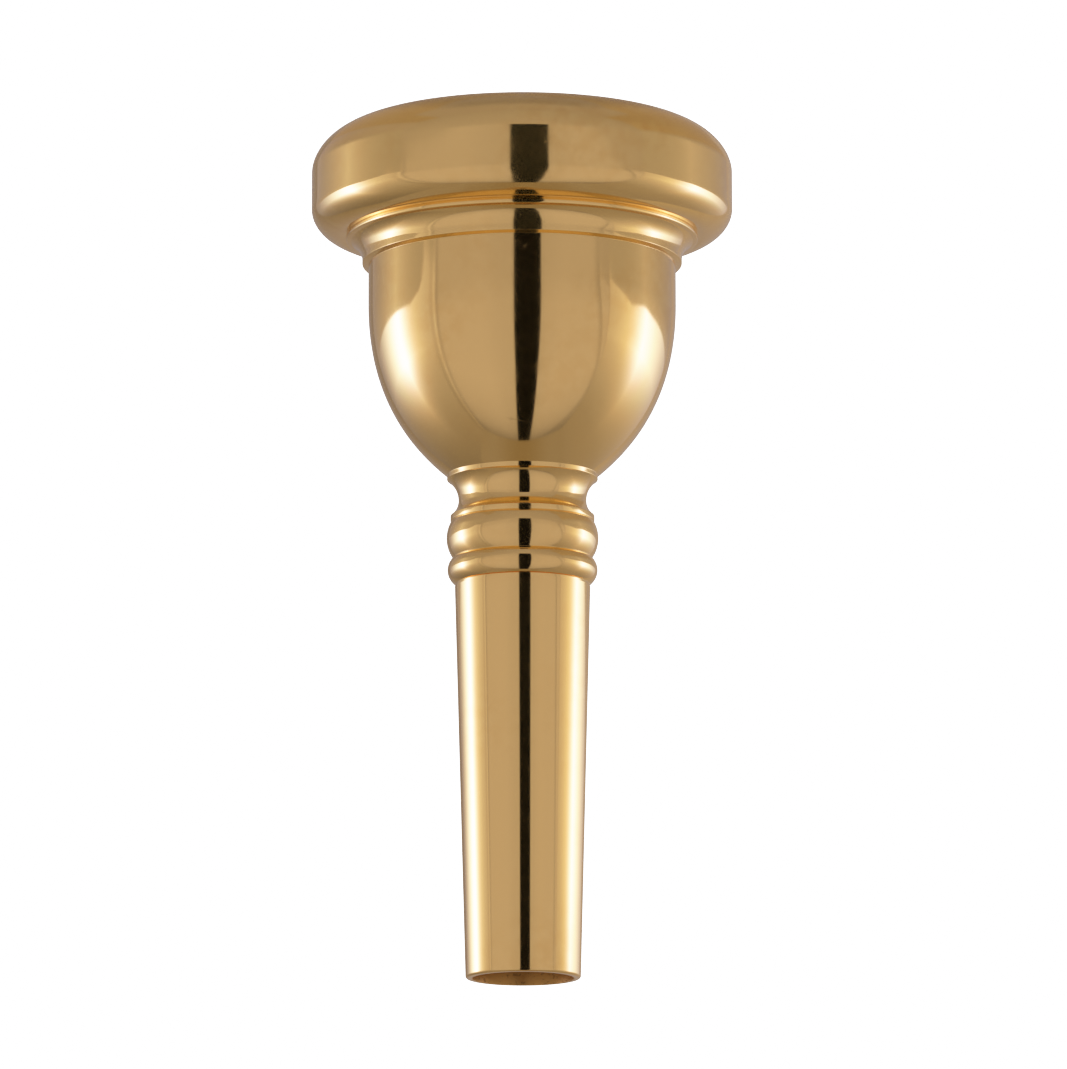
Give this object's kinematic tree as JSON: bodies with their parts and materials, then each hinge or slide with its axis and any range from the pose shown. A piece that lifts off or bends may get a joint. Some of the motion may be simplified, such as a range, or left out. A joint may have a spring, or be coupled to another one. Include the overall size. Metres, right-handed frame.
{
  "type": "brass instrument mouthpiece",
  "caption": "Round-rimmed cup mouthpiece for a low brass instrument: broad rim, bell-shaped cup, beaded neck and tapered shank, which unscrew from each other.",
  "frame": {"origin": "on the axis of turning, in the plane of the shank's open end, which goes into the instrument's receiver", "axes": "+Z runs along the air way from the shank's end to the rim, so the mouthpiece stands rim up; +X and +Y are any two directions across it"},
  "size_m": [0.039, 0.039, 0.0798],
  "materials": {
    "rim_gold_plate": "gold-plated brass, polished, with fine turning marks",
    "cup_gold_plate": "gold-plated brass, mirror polished",
    "shank_gold_plate": "gold-plated brass, mirror polished",
    "o_ring_rubber": "matt black nitrile rubber"
  },
  "bodies": {
    "shank": {"shank": "shank_gold_plate"},
    "shank_seal": {"shank_o_ring": "o_ring_rubber"},
    "cup": {"cup": "cup_gold_plate"},
    "rim_seal": {"rim_o_ring": "o_ring_rubber"},
    "rim": {"rim": "rim_gold_plate"}
  },
  "joints": [
    {"name": "shank_thread_lift", "type": "slide", "parent": "shank", "child": "shank_seal", "axis": [0, 0, 1], "range_m": [0, 0.0032]},
    {"name": "shank_thread_turn", "type": "hinge", "parent": "shank_seal", "child": "cup", "pos_m": [0, 0, 0.03633], "axis": [0, 0, 1], "range_deg": [0, 1440]},
    {"name": "rim_thread_lift", "type": "slide", "parent": "cup", "child": "rim_seal", "axis": [0, 0, 1], "range_m": [0, 0.003]},
    {"name": "rim_thread_turn", "type": "hinge", "parent": "rim_seal", "child": "rim", "pos_m": [0, 0, 0.0665], "axis": [0, 0, 1], "range_deg": [0, 1080]}
  ],
  "couplings": [
    {"joint": "shank_thread_lift", "follows": "shank_thread_turn", "m_per_rad": 0.00012732},
    {"joint": "rim_thread_lift", "follows": "rim_thread_turn", "m_per_rad": 0.00015915}
  ]
}
